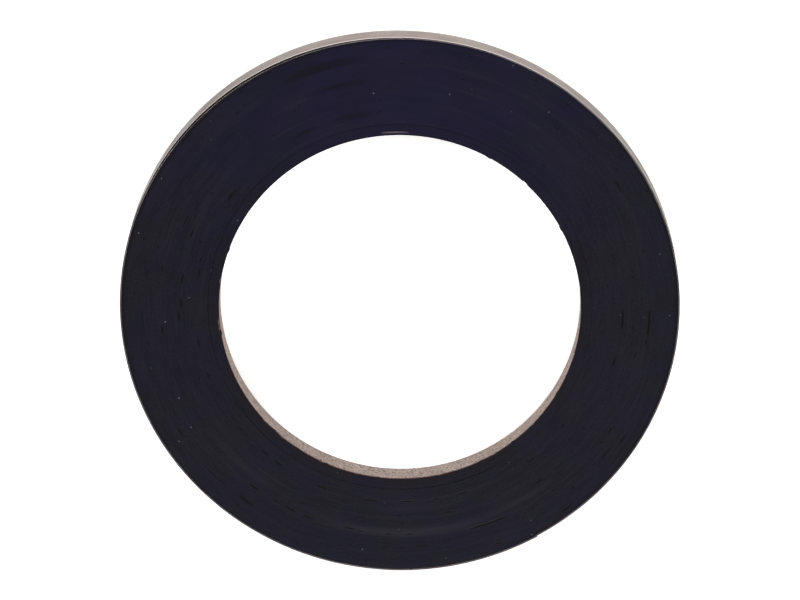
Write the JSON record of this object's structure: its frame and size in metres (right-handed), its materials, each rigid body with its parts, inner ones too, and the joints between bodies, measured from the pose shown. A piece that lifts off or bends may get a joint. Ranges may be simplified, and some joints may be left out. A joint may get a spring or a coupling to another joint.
{
  "type": "copper foil tape roll",
  "caption": "Flat roll of narrow adhesive-backed copper foil tape wound with its paper liner on a paper core, with a free end that lifts and peels.",
  "frame": {"origin": "on the core's axis, in the plane of the roll's lower face", "axes": "+Z along the core's axis, out of the upper face; the roll lies flat in XY"},
  "size_m": [0.1179, 0.1181, 0.0063],
  "materials": {
    "core_kraft": "matte",
    "core_board": "matte",
    "wound_edge": "satin",
    "copper_foil": "polished",
    "black_adhesive": "satin",
    "release_liner": "matte"
  },
  "bodies": {
    "roll": {"core_inner_ply": "core_kraft", "core_body_ply_1": "core_board", "core_body_ply_2": "core_board", "core_body_ply_3": "core_board", "core_outer_ply": "core_kraft", "wound_tape": "wound_edge", "last_turn_liner": "release_liner", "last_turn_adhesive": "black_adhesive", "last_turn_foil": "copper_foil"},
    "tape_end": {"free_end_liner": "release_liner", "free_end_adhesive": "black_adhesive", "free_end_foil": "copper_foil"},
    "foil_end": {"peeled_adhesive": "black_adhesive", "peeled_foil": "copper_foil"}
  },
  "joints": [
    {"name": "end_lift", "type": "hinge", "parent": "roll", "child": "tape_end", "pos_m": [-0.00107, -0.05905, 0.00317], "axis": [0, 0, -1], "range_deg": [0, 75]},
    {"name": "foil_peel", "type": "hinge", "parent": "tape_end", "child": "foil_end", "pos_m": [0.0089, -0.0584, 0.00317], "axis": [0, 0, -1], "range_deg": [0, 90]}
  ]
}
